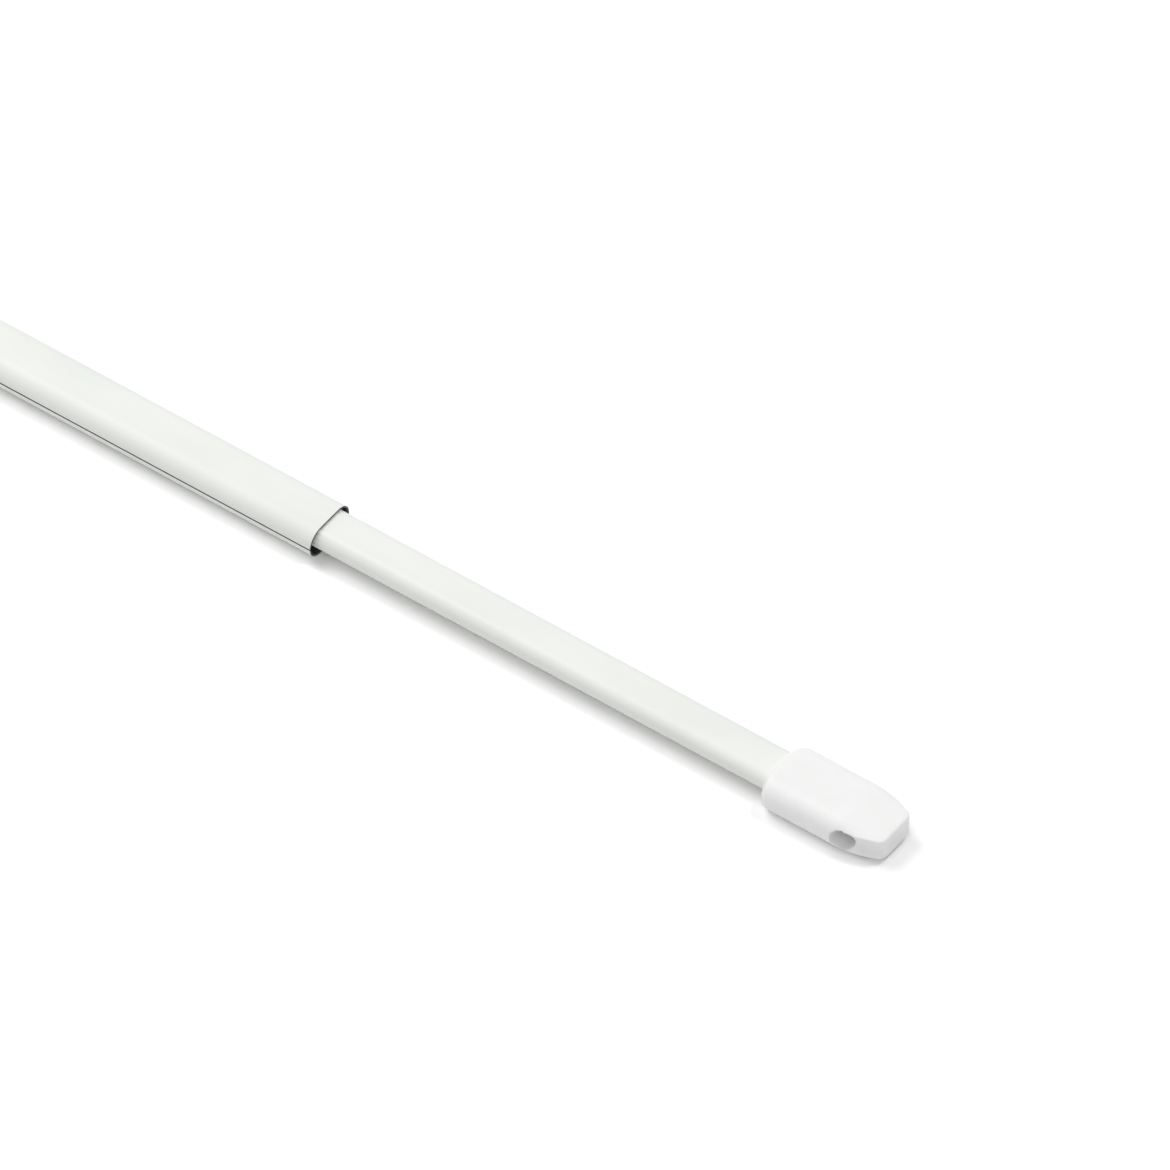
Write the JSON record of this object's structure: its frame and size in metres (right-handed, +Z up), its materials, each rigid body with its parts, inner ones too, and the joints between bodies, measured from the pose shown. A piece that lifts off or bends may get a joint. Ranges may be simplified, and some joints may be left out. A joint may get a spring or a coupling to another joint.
{
  "type": "extendable curtain rod",
  "caption": "Flat oval telescoping curtain rod: a thin tube slides in a wide one, with caps on both ends whose holes hang on hooks.",
  "frame": {"origin": "under the middle of the rod, in the plane that the two end caps rest on", "axes": "+X along the rod towards the cap of the thin tube, +Y across the flat side, +Z up out of the flat side"},
  "size_m": [0.3926, 0.0134, 0.0066],
  "materials": {
    "white_enamel": "smooth white stoved enamel on thin steel strip, satin gloss",
    "white_plastic": "white injection-moulded plastic, soft gloss"
  },
  "bodies": {
    "wide_half": {"outer_tube": "white_enamel", "outer_end_cap": "white_plastic"},
    "thin_half": {"inner_tube": "white_enamel", "inner_end_cap": "white_plastic"}
  },
  "joints": [
    {"name": "rod_extension", "type": "slide", "parent": "wide_half", "child": "thin_half", "axis": [1, 0, 0], "range_m": [-0.0925, 0.1071]}
  ]
}
